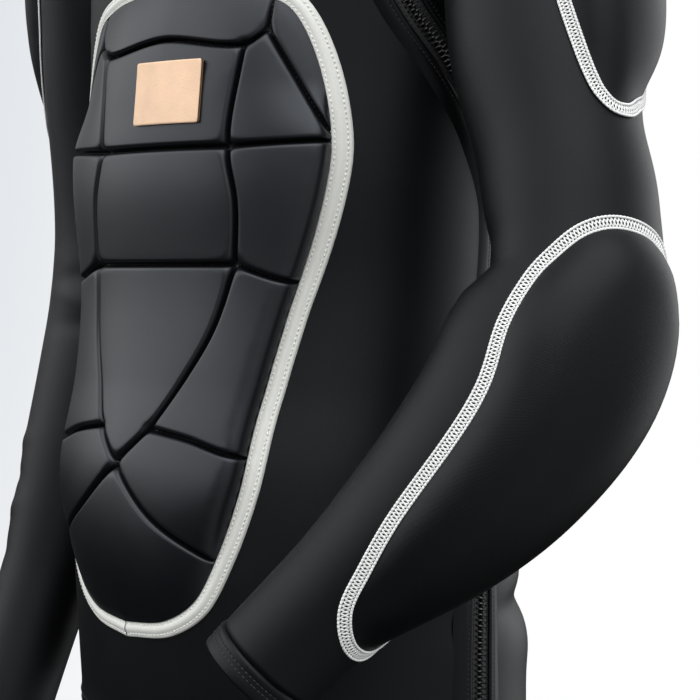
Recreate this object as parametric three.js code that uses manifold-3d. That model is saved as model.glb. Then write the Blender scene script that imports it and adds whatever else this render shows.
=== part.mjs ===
// Armoured sports jacket in the form that it has when worn: a hollow knitted body of a front
// and a back panel below a yoke, two sleeves, a block-moulded chest pad inside a bound edge, shoulder and
// elbow pads, a side zip, a neckband, two cuffs and a plain leather patch.
// Millimetres, +Z up. The front faces -Y and the wearer's left arm is on the +X side.
// The origin is the middle of the neck opening, level with the top of the shoulders.

import * as THREE from "three";
import { mergeVertices } from "three/addons/utils/BufferGeometryUtils.js";
import Module from "manifold-3d";

const wasm = await Module();
wasm.setup();

// Cloth, foam and clearances
const CLOTH = 2;
const GAP = 0.4;
const BINDING = { width: 10, thick: 2 };
const PAD_BASE_TOP = 3;
const BLOCK_TOP = 13;
const GROOVE = 4.6;
const SHOULDER_PAD_THICK = 14;
const ELBOW_PAD_THICK = 13;
const PAD_RIM = 2.5;
const NECKBAND = { height: 26, thick: 2.4, taper: 0.97 };
const CUFF = { length: 13, proud: 0.8 };
const PATCH = { width: 44.5, height: 35, thick: 1.8, x: 8, z: -241.5 };
const ZIP = { tape: 22, tapeThick: 1.2, chain: 6, chainThick: 2.4, bendRadius: 120 };
const YOKE_SEAM = -158;
const SLIDER = { width: 9, length: 13, height: 5, pullWidth: 6, pullLength: 24, pullThick: 1.8 };

// How finely the cloth is faceted
const AROUND_BODY = 24;
const AROUND_SLEEVE = 14;
const BODY_RINGS = 17;
const SLEEVE_RINGS = 15;
const SLEEVE_PAD_ROWS = 8;
const SLEEVE_PAD_COLUMNS = 6;
const EDGE_STEPS = 22;
const ZIP_STEPS = 24;
const LONGEST_SIDE = 34;

// How far cutting shapes reach past what they cut
const CUT_REACH = 30;
const CUT_BELOW = -14;
const CUT_ABOVE = 90;

// Body sections from the neck to the hem: half width, front and back depth, how far a
// section leans forward (rise for each millimetre towards the back) and its turn in degrees
const BODY = [
  { z: 4, half: 66, front: -58, back: 60, lean: 0.42, turn: 0 },
  { z: -13, half: 96, front: -70, back: 74, lean: 0.32, turn: 0 },
  { z: -35, half: 130, front: -80, back: 86, lean: 0.2, turn: 0 },
  { z: -66, half: 149, front: -88, back: 95, lean: 0.1, turn: 0 },
  { z: -110, half: 152, front: -98, back: 101, lean: 0, turn: 0 },
  { z: -165, half: 147, front: -106, back: 101, lean: 0, turn: 0 },
  { z: -225, half: 141, front: -110, back: 96, lean: 0, turn: 0 },
  { z: -285, half: 136, front: -115, back: 88, lean: 0, turn: 0.5 },
  { z: -345, half: 134, front: -113, back: 82, lean: 0, turn: 2 },
  { z: -400, half: 136, front: -119, back: 82, lean: 0, turn: 5 },
  { z: -450, half: 143, front: -129, back: 90, lean: 0, turn: 8.5 },
  { z: -500, half: 153, front: -130, back: 103, lean: 0, turn: 10 },
  { z: -550, half: 159, front: -126, back: 108, lean: 0, turn: 10.5 },
  { z: -612, half: 160, front: -121, back: 108, lean: 0, turn: 10.5 },
];

// Sleeve sections by distance along the arm from inside the shoulder: radius towards the
// arm's front-outer side and radius across it
const SLEEVE = [
  { along: 0, deep: 50, wide: 44 },
  { along: 40, deep: 54, wide: 50 },
  { along: 80, deep: 55, wide: 54 },
  { along: 130, deep: 52, wide: 52 },
  { along: 190, deep: 48, wide: 49 },
  { along: 250, deep: 45, wide: 46 },
  { along: 300, deep: 44, wide: 45 },
  { along: 345, deep: 44, wide: 50 },
  { along: 390, deep: 44, wide: 51 },
  { along: 440, deep: 42, wide: 46 },
  { along: 490, deep: 37, wide: 39 },
  { along: 545, deep: 31, wide: 32 },
  { along: 640, deep: 28, wide: 29 },
];

// Each arm's line, told as for a left arm; the right one is mirrored
const ARMS = {
  left: {
    mirror: 1,
    line: [
      [92, 8, -66],
      [158, 4, -92],
      [190, -28, -180],
      [230, -61, -308],
      [228, -92, -392],
      [118, -175, -543],
    ],
    shoulderReach: 1,
    elbowTurn: 0,
  },
  right: {
    mirror: -1,
    line: [
      [92, 8, -66],
      [158, 10, -92],
      [187, 20, -185],
      [193, 28, -330],
      [200, 16, -420],
      [212, -66, -648],
    ],
    shoulderReach: 0.81,
    elbowTurn: 95,
  },
};
const UP = new THREE.Vector3(0, 0, 1);
const FRONT_OUTER = new THREE.Vector3(0.6, -0.8, 0);

// Pad outlines on a sleeve: distance along the arm, the angle that the pad's middle has from
// the arm's front-outer side, and the half angle that the pad covers
const SHOULDER_PAD = [
  { along: 84, middle: 53, half: 20 },
  { along: 92, middle: 52, half: 36 },
  { along: 120, middle: 51, half: 49 },
  { along: 160, middle: 53, half: 51 },
  { along: 200, middle: 54, half: 50 },
  { along: 240, middle: 56, half: 41 },
  { along: 258, middle: 51, half: 30 },
  { along: 268, middle: 43, half: 18 },
  { along: 275, middle: 40, half: 7 },
];
const ELBOW_PAD = [
  { along: 329, middle: 38, half: 15 },
  { along: 335, middle: 38, half: 33 },
  { along: 346, middle: 38, half: 47 },
  { along: 360, middle: 39, half: 60 },
  { along: 385, middle: 41, half: 70 },
  { along: 420, middle: 44, half: 68 },
  { along: 490, middle: 49, half: 65 },
  { along: 520, middle: 51, half: 55 },
  { along: 540, middle: 52, half: 43 },
  { along: 552, middle: 53, half: 17 },
];

// Chest pad: outer edge of the binding on the wearer's left, from the top to the bottom
const PAD_EDGE = [
  [0, -172],
  [56, -179],
  [82, -193],
  [104.5, -268],
  [89, -365],
  [86.5, -410],
  [89, -455],
  [80.5, -493],
  [64, -524],
  [38, -540],
  [0, -545.5],
];

// Corners of the groove pattern on the wearer's left: distance from the middle, and height
const CORNER = {
  archMiddle: [0, -211],
  archEnd: [51, -216],
  diagonalTop: [62.5, -208],
  topOuter: [66.5, -160],
  diagonalFoot: [101, -268.5],
  ribs: [46.5, -271.5],
  ribsWaist: [52, -300],
  tongueTop: [52, -334.5],
  waistOuter: [81.5, -344.5],
  tongueMid: [44.5, -374],
  tongueLow: [34.5, -399],
  tongueFoot: [20, -427.5],
  tip: [0, -447],
  bellyMid: [48, -432],
  bellyOuter: [75.5, -439],
  hipMid: [31, -472.5],
  hipOuter: [69, -494.5],
  footOuter: [98, -560],
};

// Zip on the wearer's left, from the neck to the hem: height and angle from the front
const ZIP_LINE = [
  { z: -30, angle: 25 },
  { z: -80, angle: 33 },
  { z: -140, angle: 44 },
  { z: -194, angle: 59.5 },
  { z: -226, angle: 74 },
  { z: -262, angle: 91 },
  { z: -305, angle: 106 },
  { z: -370, angle: 108 },
  { z: -470, angle: 100 },
  { z: -545, angle: 92 },
  { z: -608, angle: 90 },
];

// Colours and surface finish
const BLACK_KNIT = new THREE.MeshStandardMaterial({ color: 0x17181a, roughness: 0.75, metalness: 0 });
const BLACK_FOAM = new THREE.MeshStandardMaterial({ color: 0x202227, roughness: 0.6, metalness: 0 });
const GREY_TAPE = new THREE.MeshStandardMaterial({ color: 0xb4b5ad, roughness: 0.55, metalness: 0 });
const TAN_LEATHER = new THREE.MeshStandardMaterial({ color: 0xe6bf96, roughness: 0.7, metalness: 0 });
const BLACK_TAPE = new THREE.MeshStandardMaterial({ color: 0x141416, roughness: 0.85, metalness: 0 });
const BLACK_RESIN = new THREE.MeshStandardMaterial({ color: 0x1b1b1d, roughness: 0.35, metalness: 0 });

const jacket = new THREE.Group();

function addPiece(name, solid, material) {
  const mesh = new THREE.Mesh(geometryOf(solid), material);
  mesh.name = name;
  jacket.add(mesh);
}

// Solids from geometry and back
function solidOf(geometry) {
  const bare = geometry.index ? geometry.toNonIndexed() : geometry.clone();
  bare.deleteAttribute("normal");
  bare.deleteAttribute("uv");
  const merged = mergeVertices(bare, 1e-4);
  return new wasm.Manifold(
    new wasm.Mesh({
      numProp: 3,
      vertProperties: new Float32Array(merged.attributes.position.array),
      triVerts: new Uint32Array(merged.index.array),
    }),
  );
}

function geometryOf(solid) {
  const { vertProperties, triVerts } = solid.getMesh();
  const geometry = new THREE.BufferGeometry();
  geometry.setAttribute("position", new THREE.BufferAttribute(new Float32Array(vertProperties), 3));
  geometry.setIndex(new THREE.BufferAttribute(new Uint32Array(triVerts), 1));
  return geometry;
}

function meshFrom(points, triangles) {
  const geometry = new THREE.BufferGeometry();
  geometry.setAttribute("position", new THREE.Float32BufferAttribute(points.flatMap((p) => p.toArray()), 3));
  geometry.setIndex(triangles.flat());
  const solid = solidOf(geometry);
  if (solid.volume() > 0) return solid;
  geometry.setIndex(triangles.map(([a, b, c]) => [a, c, b]).flat());
  return solidOf(geometry);
}

// A closed solid through rings of equal length, with a fan over each end
function loft(rings) {
  const count = rings[0].length;
  const points = rings.flat();
  const triangles = [];
  for (let r = 0; r + 1 < rings.length; r += 1) {
    for (let i = 0; i < count; i += 1) {
      const a = r * count + i;
      const b = r * count + ((i + 1) % count);
      triangles.push([a, b, a + count], [b, b + count, a + count]);
    }
  }
  for (const [r, flip] of [[0, true], [rings.length - 1, false]]) {
    const middle = new THREE.Vector3();
    rings[r].forEach((p) => middle.addScaledVector(p, 1 / count));
    const hub = points.push(middle) - 1;
    for (let i = 0; i < count; i += 1) {
      const a = r * count + i;
      const b = r * count + ((i + 1) % count);
      triangles.push(flip ? [hub, b, a] : [hub, a, b]);
    }
  }
  return meshFrom(points, triangles);
}

// A closed hoop through sections of equal length
function hoop(sections) {
  const count = sections[0].length;
  const triangles = [];
  sections.forEach((_, r) => {
    const here = r * count;
    const next = ((r + 1) % sections.length) * count;
    for (let i = 0; i < count; i += 1) {
      const j = (i + 1) % count;
      triangles.push([here + i, here + j, next + i], [here + j, next + j, next + i]);
    }
  });
  return meshFrom(sections.flat(), triangles);
}

// A value from a table, smooth between its rows
function fromTable(rows, key, value, at) {
  const last = rows.length - 1;
  let i = 0;
  const rising = rows[last][key] > rows[0][key];
  while (i < last - 1 && (rising ? at > rows[i + 1][key] : at < rows[i + 1][key])) i += 1;
  const p = [i - 1, i, i + 1, i + 2].map((k) => rows[THREE.MathUtils.clamp(k, 0, last)]);
  const t = THREE.MathUtils.clamp((at - p[1][key]) / (p[2][key] - p[1][key]), 0, 1);
  const span = p[2][key] - p[1][key];
  const slope = (a, b) => (b[key] === a[key] ? 0 : ((b[value] - a[value]) / (b[key] - a[key])) * span);
  const m1 = slope(p[0], p[2]);
  const m2 = slope(p[1], p[3]);
  const t2 = t * t;
  const t3 = t2 * t;
  return (
    (2 * t3 - 3 * t2 + 1) * p[1][value] + (t3 - 2 * t2 + t) * m1 +
    (-2 * t3 + 3 * t2) * p[2][value] + (t3 - t2) * m2
  );
}

// The body's cloth: angle 0 is the front middle and +90 degrees is the wearer's left
function bodyOnSection(z, angle) {
  const half = fromTable(BODY, "z", "half", z);
  const front = fromTable(BODY, "z", "front", z);
  const back = fromTable(BODY, "z", "back", z);
  const lean = fromTable(BODY, "z", "lean", z);
  const turn = THREE.MathUtils.degToRad(fromTable(BODY, "z", "turn", z));
  const y = (front + back) / 2 - ((back - front) / 2) * Math.cos(angle);
  const point = new THREE.Vector3(half * Math.sin(angle), y, z + lean * y);
  return point.applyAxisAngle(UP, -turn);
}

function normalAt(pointAt, u, v, du, dv) {
  const alongU = pointAt(u + du, v).sub(pointAt(u - du, v));
  const alongV = pointAt(u, v + dv).sub(pointAt(u, v - dv));
  return alongU.cross(alongV).normalize();
}

function bodyPoint(z, angle, out = 0) {
  const top = BODY[0].z - 1;
  const bottom = BODY[BODY.length - 1].z + 1;
  const level = THREE.MathUtils.clamp(z, bottom, top);
  const normal = normalAt((a, b) => bodyOnSection(b, a), angle, level, 0.02, 1);
  return bodyOnSection(z, angle).addScaledVector(normal, out);
}

function bodyLevels() {
  return Array.from({ length: BODY_RINGS }, (_, i) => {
    const place = (i / (BODY_RINGS - 1)) * (BODY.length - 1);
    const row = Math.min(Math.floor(place), BODY.length - 2);
    return THREE.MathUtils.lerp(BODY[row].z, BODY[row + 1].z, place - row);
  });
}

function bodySolid(out, reach = 0) {
  const rings = bodyLevels().map((z) =>
    Array.from({ length: AROUND_BODY }, (_, i) => bodyPoint(z, (i / AROUND_BODY) * 2 * Math.PI, out)),
  );
  if (reach > 0) {
    const shifted = (ring, dy, dz) => ring.map((p) => p.clone().add(new THREE.Vector3(0, dy, dz)));
    rings.unshift(shifted(rings[0], -reach * BODY[0].lean, reach));
    rings.push(shifted(rings[rings.length - 1], 0, -reach));
  }
  return loft(rings);
}

// Angle round the body of a place on the front, given its distance from the middle
function frontAngle(x, z) {
  return Math.asin(THREE.MathUtils.clamp(x / fromTable(BODY, "z", "half", z), -0.98, 0.98));
}

// One arm's line, its sections and its cloth
function makeArm({ line, mirror }) {
  const curve = new THREE.CatmullRomCurve3(line.map((p) => new THREE.Vector3(...p)), false, "centripetal");
  const length = curve.getLength();

  function pointAt(along, angle, out = 0) {
    const u = THREE.MathUtils.clamp(along / length, 0, 1);
    const tangent = curve.getTangentAt(u);
    const middle = curve.getPointAt(u).addScaledVector(tangent, along - u * length);
    const facing = FRONT_OUTER.clone().addScaledVector(tangent, -FRONT_OUTER.dot(tangent)).normalize();
    const side = facing.clone().cross(tangent);
    const deep = fromTable(SLEEVE, "along", "deep", along) + out;
    const wide = fromTable(SLEEVE, "along", "wide", along) + out;
    middle.addScaledVector(facing, deep * Math.cos(angle)).addScaledVector(side, wide * Math.sin(angle));
    middle.x *= mirror;
    return middle;
  }

  function solid(out, from, to, steps = SLEEVE_RINGS) {
    const rings = Array.from({ length: steps }, (_, r) => {
      const along = THREE.MathUtils.lerp(from, to, r / (steps - 1));
      return Array.from({ length: AROUND_SLEEVE }, (_, i) =>
        pointAt(along, (i / AROUND_SLEEVE) * 2 * Math.PI, out),
      );
    });
    return loft(rings);
  }

  return { length, pointAt, solid };
}

// A curved pad that lies on a sleeve, thick in the middle and thin at its rim
function sleevePad(arm, outline, reach, turn, thick) {
  const rows = SLEEVE_PAD_ROWS;
  const columns = SLEEVE_PAD_COLUMNS;
  const first = outline[0].along;
  const last = outline[outline.length - 1].along;
  const under = [];
  const over = [];
  for (let r = 0; r <= rows; r += 1) {
    const along = THREE.MathUtils.lerp(first, last, 0.5 - 0.5 * Math.cos((Math.PI * r) / rows));
    const half = fromTable(outline, "along", "half", along);
    const middle = fromTable(outline, "along", "middle", along) + turn;
    for (let c = 0; c <= columns; c += 1) {
      const across = (2 * c) / columns - 1;
      const angle = THREE.MathUtils.degToRad(middle + half * across);
      const dome = Math.sqrt(Math.max(0, 1 - across ** 4)) * Math.sin((Math.PI * r) / rows) ** 0.4;
      const place = first + (along - first) * reach;
      under.push(arm.pointAt(place, angle, -CLOTH));
      over.push(arm.pointAt(place, angle, PAD_RIM + (thick - PAD_RIM) * dome));
    }
  }
  const width = columns + 1;
  const lift = under.length;
  const triangles = [];
  for (let r = 0; r < rows; r += 1) {
    for (let c = 0; c < columns; c += 1) {
      const a = r * width + c;
      const quad = [a, a + 1, a + width + 1, a + width];
      triangles.push([quad[0], quad[2], quad[1]], [quad[0], quad[3], quad[2]]);
      const top = quad.map((k) => k + lift);
      triangles.push([top[0], top[1], top[2]], [top[0], top[2], top[3]]);
    }
  }
  const rim = [];
  for (let c = 0; c < columns; c += 1) rim.push(c);
  for (let r = 0; r < rows; r += 1) rim.push(r * width + columns);
  for (let c = columns; c > 0; c -= 1) rim.push(rows * width + c);
  for (let r = rows; r > 0; r -= 1) rim.push(r * width);
  rim.forEach((a, i) => {
    const b = rim[(i + 1) % rim.length];
    triangles.push([a, b, b + lift], [a, b + lift, a + lift]);
  });
  return meshFrom([...under, ...over], triangles);
}

// Chest pad drawing: flat outlines in distance from the middle and height
function padEdge() {
  const curve = new THREE.CatmullRomCurve3(
    PAD_EDGE.map(([x, z]) => new THREE.Vector3(x, 0, z)),
    false,
    "centripetal",
  );
  const left = curve.getPoints(EDGE_STEPS).map((p) => [p.x, p.z]);
  const right = left.slice(1, -1).reverse().map(([x, z]) => [-x, z]);
  return [...left, ...right];
}

function signedArea(outline) {
  return outline.reduce((sum, [x, z], i) => {
    const [nx, nz] = outline[(i + 1) % outline.length];
    return sum + (x * nz - nx * z) / 2;
  }, 0);
}

// Moves each side of a flat outline inwards by a distance
function inset(outline, distance) {
  const turn = Math.sign(signedArea(outline));
  const count = outline.length;
  return outline.map(([x, z], i) => {
    const [px, pz] = outline[(i + count - 1) % count];
    const [nx, nz] = outline[(i + 1) % count];
    const before = new THREE.Vector2(x - px, z - pz).normalize();
    const after = new THREE.Vector2(nx - x, nz - z).normalize();
    const square = new THREE.Vector2(-before.y, before.x).multiplyScalar(turn);
    const inward = new THREE.Vector2(-after.y, after.x).multiplyScalar(turn).add(square).normalize();
    const reach = distance / Math.max(0.5, inward.dot(square));
    return [x + inward.x * reach, z + inward.y * reach];
  });
}

// Long sides of a flat outline get extra points, so that walls on them follow the cloth
function split(outline) {
  return outline.flatMap(([x, z], i) => {
    const [nx, nz] = outline[(i + 1) % outline.length];
    const parts = Math.ceil(Math.hypot(nx - x, nz - z) / LONGEST_SIDE);
    return Array.from({ length: parts }, (_, k) => [x + ((nx - x) * k) / parts, z + ((nz - z) * k) / parts]);
  });
}

// A prism whose walls stand square to the cloth under a flat outline
function standOn(outline, below, above) {
  const ordered = split(signedArea(outline) > 0 ? outline : [...outline].reverse());
  const count = ordered.length;
  const middle = [0, 1].map((axis) => ordered.reduce((sum, p) => sum + p[axis] / count, 0));
  const at = (out) => [...ordered, middle].map(([x, z]) => bodyPoint(z, frontAngle(x, z), out));
  const lift = count + 1;
  const triangles = [];
  for (let i = 0; i < count; i += 1) {
    const j = (i + 1) % count;
    triangles.push([i, j, j + lift], [i, j + lift, i + lift]);
    triangles.push([count, j, i], [count + lift, i + lift, j + lift]);
  }
  return meshFrom([...at(below), ...at(above)], triangles);
}

function layer(outline, from, to) {
  return standOn(outline, CUT_BELOW, CUT_ABOVE).intersect(bodySolid(to)).subtract(bodySolid(from));
}

// Blocks between the grooves, drawn past the pad's rim; a block of a pair is made on each side
function blockOutlines() {
  const c = CORNER;
  const other = ([x, z]) => [-x, z];
  const past = ([x, z]) => [x + CUT_REACH, z];
  const single = {
    pad_top: [
      other(c.topOuter), c.topOuter, c.diagonalTop, c.archEnd, c.archMiddle,
      other(c.archEnd), other(c.diagonalTop),
    ],
    pad_plate: [other(c.archEnd), c.archMiddle, c.archEnd, c.ribs, other(c.ribs)],
    pad_ribs: [other(c.ribs), c.ribs, c.ribsWaist, c.tongueTop, other(c.tongueTop), other(c.ribsWaist)],
    pad_tongue: [
      other(c.tongueTop), c.tongueTop, c.tongueMid, c.tongueLow, c.tongueFoot, c.tip,
      other(c.tongueFoot), other(c.tongueLow), other(c.tongueMid),
    ],
    pad_foot: [
      c.tip, c.hipMid, c.hipOuter, c.footOuter,
      other(c.footOuter), other(c.hipOuter), other(c.hipMid),
    ],
  };
  const pairs = {
    pad_collar: [c.topOuter, past(c.topOuter), past(c.diagonalFoot), c.diagonalFoot, c.diagonalTop],
    pad_breast: [c.archEnd, c.diagonalTop, c.diagonalFoot, c.ribs],
    pad_flank: [
      c.ribs, c.diagonalFoot, past(c.diagonalFoot), past(c.waistOuter), c.waistOuter,
      c.tongueTop, c.ribsWaist,
    ],
    pad_waist: [
      c.tongueTop, c.waistOuter, past(c.waistOuter), past(c.bellyOuter), c.bellyOuter, c.bellyMid,
      c.tongueFoot, c.tongueLow, c.tongueMid,
    ],
    pad_belly: [
      c.tongueFoot, c.bellyMid, c.bellyOuter, past(c.bellyOuter), past(c.hipOuter), c.hipOuter,
      c.hipMid, c.tip,
    ],
  };
  const all = { ...single };
  for (const [name, outline] of Object.entries(pairs)) {
    all[name + "_left"] = outline;
    all[name + "_right"] = outline.map(other);
  }
  return all;
}

// A strip that lies on the body along the zip line, between two heights above the cloth
function zipStrip(width, from, to) {
  const first = ZIP_LINE[0].z;
  const last = ZIP_LINE[ZIP_LINE.length - 1].z;
  const place = (z) => [z, THREE.MathUtils.degToRad(fromTable(ZIP_LINE, "z", "angle", z))];
  const rings = Array.from({ length: ZIP_STEPS + 1 }, (_, i) => {
    const z = THREE.MathUtils.lerp(first, last, i / ZIP_STEPS);
    const [, angle] = place(z);
    const behind = bodyPoint(...place(Math.min(z + 2, first)));
    const along = bodyPoint(...place(Math.max(z - 2, last))).sub(behind).normalize();
    const normal = normalAt((a, b) => bodyOnSection(b, a), angle, Math.min(z, BODY[0].z - 2), 0.02, 1);
    const side = along.clone().cross(normal).normalize();
    const middle = bodyPoint(z, angle);
    const bend = (width * width) / 8 / ZIP.bendRadius;
    const corner = (across, out) =>
      middle.clone().addScaledVector(side, across).addScaledVector(normal, out);
    return [
      corner(-width / 2, from - bend), corner(0, from), corner(width / 2, from - bend),
      corner(width / 2, to - bend), corner(0, to), corner(-width / 2, to - bend),
    ];
  });
  return loft(rings);
}

// The zip's slider and its pull, flat against the closed zip at the neck
function zipSlider(height) {
  const top = ZIP_LINE[0];
  const z = top.z - SLIDER.length;
  const angle = THREE.MathUtils.degToRad(fromTable(ZIP_LINE, "z", "angle", z));
  const normal = normalAt((a, b) => bodyOnSection(b, a), angle, z, 0.02, 1);
  const lower = bodyPoint(z - 4, THREE.MathUtils.degToRad(fromTable(ZIP_LINE, "z", "angle", z - 4)));
  const down = lower.sub(bodyPoint(z, angle)).normalize();
  const side = down.clone().cross(normal).normalize();
  const place = new THREE.Matrix4().makeBasis(side, down, normal).setPosition(bodyPoint(z, angle, height));
  const block = (w, l, t, along, out) =>
    new THREE.BoxGeometry(w, l, t).translate(0, along, out + t / 2).applyMatrix4(place);
  const body = solidOf(block(SLIDER.width, SLIDER.length, SLIDER.height, 0, 0));
  const pullRise = SLIDER.height - SLIDER.pullThick;
  const pull = solidOf(
    block(SLIDER.pullWidth, SLIDER.pullLength, SLIDER.pullThick, SLIDER.pullLength / 2, pullRise),
  );
  return body.add(pull);
}

// Cloth
const shell = bodySolid(0);
const hollow = bodySolid(-CLOTH, 2 * CUT_REACH);
const clear = bodySolid(GAP);
const arms = { left: makeArm(ARMS.left), right: makeArm(ARMS.right) };
let body = shell.subtract(hollow);
for (const side of ["left", "right"]) {
  const arm = arms[side];
  const cuffTop = arm.length - CUFF.length;
  const inside = arm.solid(-CLOTH, 0, arm.length + CUT_REACH);
  body = body.subtract(inside);
  const tube = arm.solid(0, 0, cuffTop - GAP).subtract(inside);
  addPiece("sleeve_" + side, tube.subtract(clear), BLACK_KNIT);
  const bore = arm.solid(-CLOTH, cuffTop - CUFF.length, arm.length + CUFF.length, 2);
  const cuff = arm.solid(CUFF.proud, cuffTop, arm.length, 2).subtract(bore);
  addPiece("cuff_" + side, cuff, BLACK_KNIT);
  const sleeveClear = arm.solid(GAP, 0, cuffTop - GAP);
  const shoulderPad = sleevePad(arm, SHOULDER_PAD, ARMS[side].shoulderReach, 0, SHOULDER_PAD_THICK);
  addPiece("shoulder_pad_" + side, shoulderPad.subtract(sleeveClear).subtract(clear), BLACK_KNIT);
  const elbowPad = sleevePad(arm, ELBOW_PAD, 1, ARMS[side].elbowTurn, ELBOW_PAD_THICK);
  addPiece("elbow_pad_" + side, elbowPad.subtract(sleeveClear), BLACK_KNIT);
}
// Front and back meet in a seam down each side, and the yoke's seam crosses above the chest pad
const parts = { yoke: body.trimByPlane([0, 0, 1], YOKE_SEAM + GAP / 2) };
parts.body = body.trimByPlane([0, 0, -1], GAP / 2 - YOKE_SEAM);
for (const [name, part] of Object.entries(parts)) {
  addPiece(name + "_front", part.trimByPlane([0, -1, 0], GAP / 2), BLACK_KNIT);
  addPiece(name + "_back", part.trimByPlane([0, 1, 0], GAP / 2), BLACK_KNIT);
}

// Neckband on the body's top edge
const neckRing = (rise, out) =>
  Array.from({ length: AROUND_BODY }, (_, i) => {
    const p = bodyOnSection(BODY[0].z, (i / AROUND_BODY) * 2 * Math.PI);
    const shrink = THREE.MathUtils.lerp(1, NECKBAND.taper, rise / NECKBAND.height);
    const radial = new THREE.Vector3(p.x, p.y, 0).normalize();
    p.multiply(new THREE.Vector3(shrink, shrink, 1)).addScaledVector(radial, out);
    return p.add(new THREE.Vector3(0, -rise * BODY[0].lean, rise));
  });
const bandOuter = loft([neckRing(GAP, 0), neckRing(NECKBAND.height, 0)]);
const bandInner = loft([
  neckRing(-CUT_REACH, -NECKBAND.thick),
  neckRing(NECKBAND.height + CUT_REACH, -NECKBAND.thick),
]);
addPiece("neckband", bandOuter.subtract(bandInner), BLACK_KNIT);

// Chest pad: backing, moulded blocks, bound edge and patch
const edge = padEdge();
const innerEdge = inset(edge, BINDING.width);
const onCloth = ([x, z], out) => bodyPoint(z, frontAngle(x, z), out);
const tape = edge.map((outer, i) => {
  const [low, high] = [2 * GAP, 2 * GAP + BINDING.thick];
  const inner = innerEdge[i];
  return [onCloth(outer, low), onCloth(inner, low), onCloth(inner, high), onCloth(outer, high)];
});
addPiece("pad_binding", hoop(tape), GREY_TAPE);
addPiece("pad_base", layer(inset(innerEdge, 3 * GAP), GAP, PAD_BASE_TOP), BLACK_FOAM);
const rim = layer(inset(innerEdge, 3 * GAP), PAD_BASE_TOP + GAP, BLOCK_TOP);
for (const [name, outline] of Object.entries(blockOutlines())) {
  addPiece(name, rim.intersect(standOn(inset(outline, GROOVE / 2), CUT_BELOW, CUT_ABOVE)), BLACK_FOAM);
}
const patchOutline = [[-1, -1], [1, -1], [1, 1], [-1, 1]].map(([i, j]) => [
  PATCH.x + (i * PATCH.width) / 2,
  PATCH.z + (j * PATCH.height) / 2,
]);
addPiece("patch", layer(patchOutline, BLOCK_TOP + GAP, BLOCK_TOP + GAP + PATCH.thick), TAN_LEATHER);

// Side zip
const tapeTop = GAP + ZIP.tapeThick;
addPiece("zip_tape", zipStrip(ZIP.tape, -2 * ZIP.tapeThick, tapeTop).subtract(clear), BLACK_TAPE);
addPiece("zip_chain", zipStrip(ZIP.chain, tapeTop + GAP, tapeTop + GAP + ZIP.chainThick), BLACK_RESIN);
addPiece("zip_slider", zipSlider(tapeTop + 2 * GAP + ZIP.chainThick), BLACK_RESIN);

export default jacket;
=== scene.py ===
import math

import bmesh
import bpy
import numpy as np
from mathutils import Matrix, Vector
from mathutils.bvhtree import BVHTree
from mathutils.geometry import delaunay_2d_cdt
from mathutils.kdtree import KDTree


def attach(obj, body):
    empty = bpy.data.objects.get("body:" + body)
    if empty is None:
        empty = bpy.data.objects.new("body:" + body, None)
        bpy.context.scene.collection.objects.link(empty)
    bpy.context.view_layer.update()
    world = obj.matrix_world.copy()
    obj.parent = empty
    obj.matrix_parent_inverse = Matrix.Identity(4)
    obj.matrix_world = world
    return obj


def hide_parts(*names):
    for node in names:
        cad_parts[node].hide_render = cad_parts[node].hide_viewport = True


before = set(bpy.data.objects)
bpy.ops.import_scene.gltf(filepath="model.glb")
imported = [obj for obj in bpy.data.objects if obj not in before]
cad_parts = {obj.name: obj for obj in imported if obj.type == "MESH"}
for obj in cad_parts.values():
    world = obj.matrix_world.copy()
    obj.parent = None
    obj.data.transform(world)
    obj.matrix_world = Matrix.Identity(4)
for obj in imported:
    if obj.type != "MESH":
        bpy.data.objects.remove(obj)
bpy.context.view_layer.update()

SCENE = bpy.context.scene
MM = 0.001  # the tables and the meshes below are in millimetres

# Body sections from the neck to the hem: z, half width, front, back, lean, turn in degrees
BODY = np.array([
    (4, 66, -58, 60, 0.42, 0), (-13, 96, -70, 74, 0.32, 0), (-35, 130, -80, 86, 0.2, 0),
    (-66, 149, -88, 95, 0.1, 0), (-110, 152, -98, 101, 0, 0), (-165, 147, -106, 101, 0, 0),
    (-225, 141, -110, 96, 0, 0), (-285, 136, -115, 88, 0, 0.5), (-345, 134, -113, 82, 0, 2),
    (-400, 136, -119, 82, 0, 5), (-450, 143, -129, 90, 0, 8.5), (-500, 153, -130, 103, 0, 10),
    (-550, 159, -126, 108, 0, 10.5), (-612, 160, -121, 108, 0, 10.5),
], float)
NECK, HEM = BODY[0, 0], BODY[-1, 0]
YOKE_SEAM = -158
# Sleeve sections: distance along the arm, radius to its front-outer side, radius across
SLEEVE = np.array([
    (0, 50, 44), (40, 54, 50), (80, 55, 54), (130, 52, 52), (190, 48, 49), (250, 45, 46),
    (300, 44, 45), (345, 44, 50), (390, 44, 51), (440, 42, 46), (490, 37, 39), (545, 31, 32),
    (640, 28, 29),
], float)
ARM_LINE = {
    "left": [(92, 8, -66), (158, 4, -92), (190, -28, -180), (230, -61, -308),
             (228, -92, -392), (118, -175, -543)],
    "right": [(92, 8, -66), (158, 10, -92), (187, 20, -185), (193, 28, -330),
              (200, 16, -420), (212, -66, -648)],
}
MIRROR = {"left": 1, "right": -1}
SHOULDER_REACH = {"left": 1, "right": 0.81}
ELBOW_TURN = {"left": 0, "right": 95}
FRONT_OUTER = np.array([0.6, -0.8, 0])
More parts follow.
